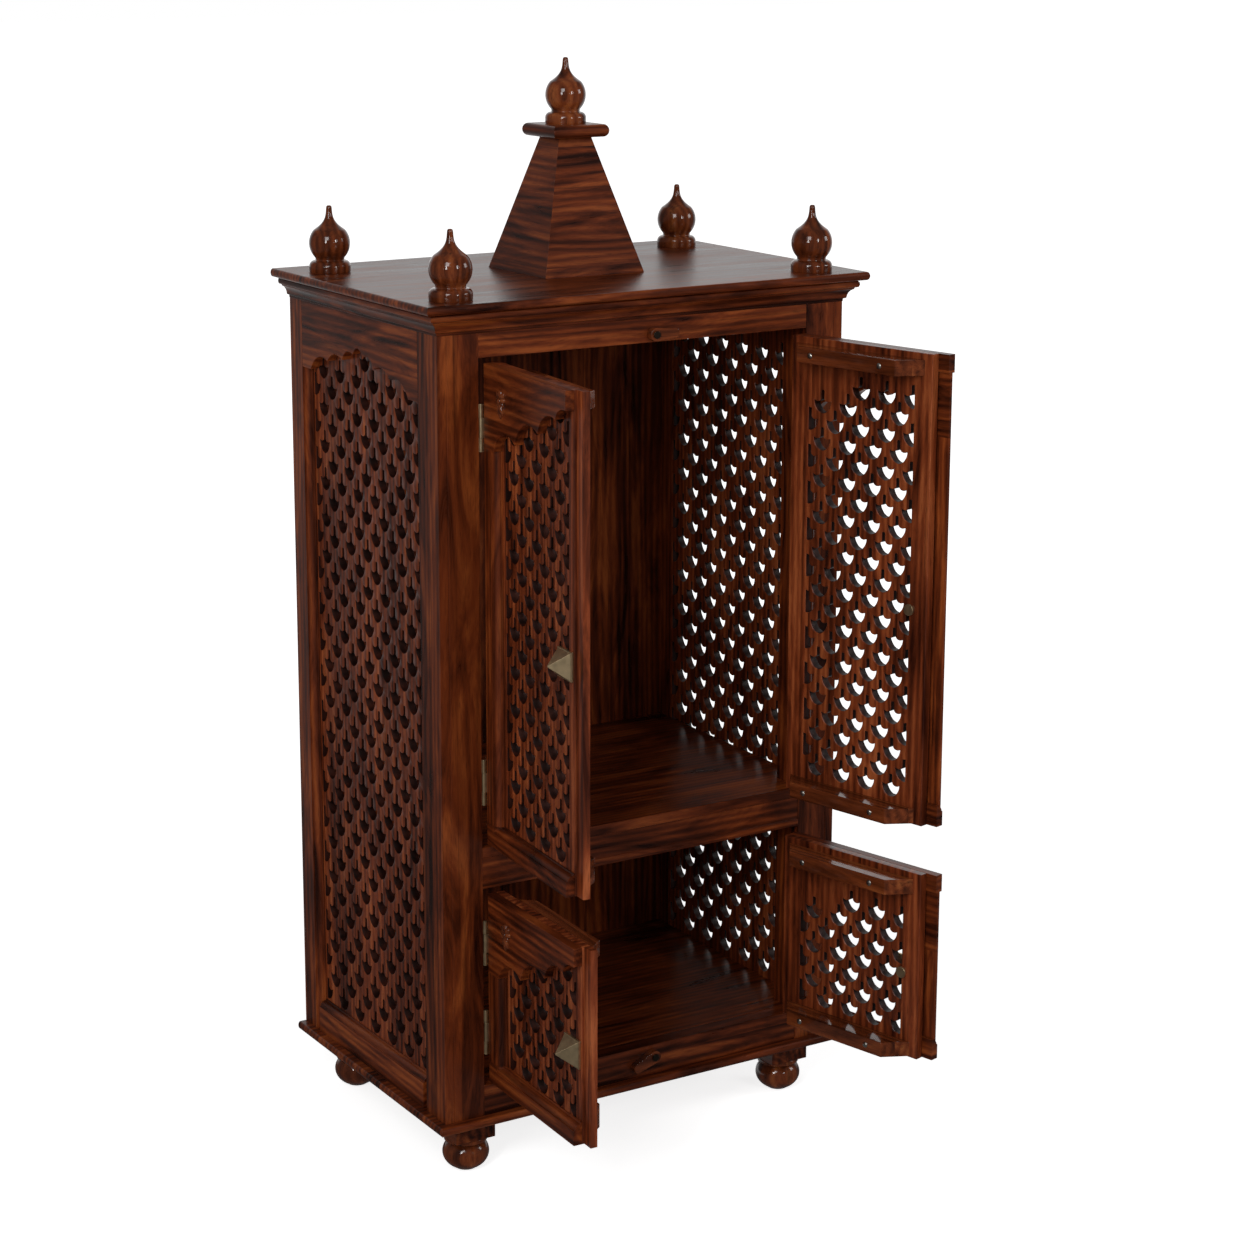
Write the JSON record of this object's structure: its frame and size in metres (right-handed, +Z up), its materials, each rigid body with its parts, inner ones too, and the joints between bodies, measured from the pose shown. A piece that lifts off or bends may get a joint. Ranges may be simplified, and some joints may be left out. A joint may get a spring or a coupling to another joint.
{
  "type": "pooja mandir cabinet",
  "caption": "Free-standing wooden shrine cabinet with pierced lattice sides, hinged lattice doors over two compartments, turned feet and finials, and a pyramid tower on top.",
  "frame": {"origin": "bottom centre of the whole outline at rest, doors open, on the floor under the feet", "axes": "+Z up, the front with its doors faces -Y, +X to the viewer's right"},
  "size_m": [0.559, 0.5634, 1.2135],
  "materials": {
    "sheesham": "gloss lacquer over dark red-brown sheesham",
    "sheesham_dark": "gloss lacquer over turned or cut dark sheesham",
    "sheesham_red": "satin lacquer over red-brown sheesham",
    "brass": "aged polished brass"
  },
  "bodies": {
    "cabinet": {"feet": "sheesham_dark", "foot_blocks": "sheesham_dark", "base_board": "sheesham", "post_front_left": "sheesham", "post_front_right": "sheesham", "stile_back_left": "sheesham", "stile_back_right": "sheesham", "side_left_rails": "sheesham", "side_right_rails": "sheesham", "side_left_lattice": "sheesham_red", "side_right_lattice": "sheesham_red", "back_panel": "sheesham", "floor_board": "sheesham_red", "shelf_board": "sheesham_red", "mid_rail": "sheesham", "header_rail": "sheesham", "bottom_rail": "sheesham", "cornice_moulding": "sheesham", "top_board": "sheesham", "tower": "sheesham", "tower_cap": "sheesham", "tower_finial": "sheesham_dark", "corner_finials": "sheesham_dark", "hinge_posts": "brass", "button_screws": "brass"},
    "upper_left_door": {"upper_left_lattice": "sheesham_red", "upper_left_trim": "sheesham", "upper_left_battens": "sheesham_dark", "upper_left_knob": "brass", "upper_left_hinges": "brass"},
    "upper_right_door": {"upper_right_lattice": "sheesham_red", "upper_right_trim": "sheesham", "upper_right_battens": "sheesham_dark", "upper_right_knob": "brass", "upper_right_hinges": "brass"},
    "lower_left_door": {"lower_left_lattice": "sheesham_red", "lower_left_trim": "sheesham", "lower_left_battens": "sheesham_dark", "lower_left_knob": "brass", "lower_left_hinges": "brass"},
    "lower_right_door": {"lower_right_lattice": "sheesham_red", "lower_right_trim": "sheesham", "lower_right_battens": "sheesham_dark", "lower_right_knob": "brass", "lower_right_hinges": "brass"},
    "turn_button_top": {"turn_button_top": "sheesham_dark"},
    "turn_button_bottom": {"turn_button_bottom": "sheesham_dark"}
  },
  "joints": [
    {"name": "upper_left_door_hinge", "type": "hinge", "parent": "cabinet", "child": "upper_left_door", "pos_m": [-0.2062, -0.07158, 0.3886], "axis": [0, 0, 1], "range_deg": [-70.5, 94.5]},
    {"name": "upper_right_door_hinge", "type": "hinge", "parent": "cabinet", "child": "upper_right_door", "pos_m": [0.2062, -0.07158, 0.3886], "axis": [0, 0, 1], "range_deg": [-103.6, 61.4]},
    {"name": "lower_left_door_hinge", "type": "hinge", "parent": "cabinet", "child": "lower_left_door", "pos_m": [-0.2062, -0.07158, 0.1145], "axis": [0, 0, 1], "range_deg": [-73, 92]},
    {"name": "lower_right_door_hinge", "type": "hinge", "parent": "cabinet", "child": "lower_right_door", "pos_m": [0.2062, -0.07158, 0.1145], "axis": [0, 0, 1], "range_deg": [-104.3, 60.7]},
    {"name": "turn_button_top_pivot", "type": "hinge", "parent": "cabinet", "child": "turn_button_top", "pos_m": [0.006, -0.07158, 0.92651], "axis": [0, 1, 0], "range_deg": [0, 180]},
    {"name": "turn_button_bottom_pivot", "type": "hinge", "parent": "cabinet", "child": "turn_button_bottom", "pos_m": [0.009, -0.07158, 0.09743], "axis": [0, 1, 0], "range_deg": [0, 224]}
  ]
}
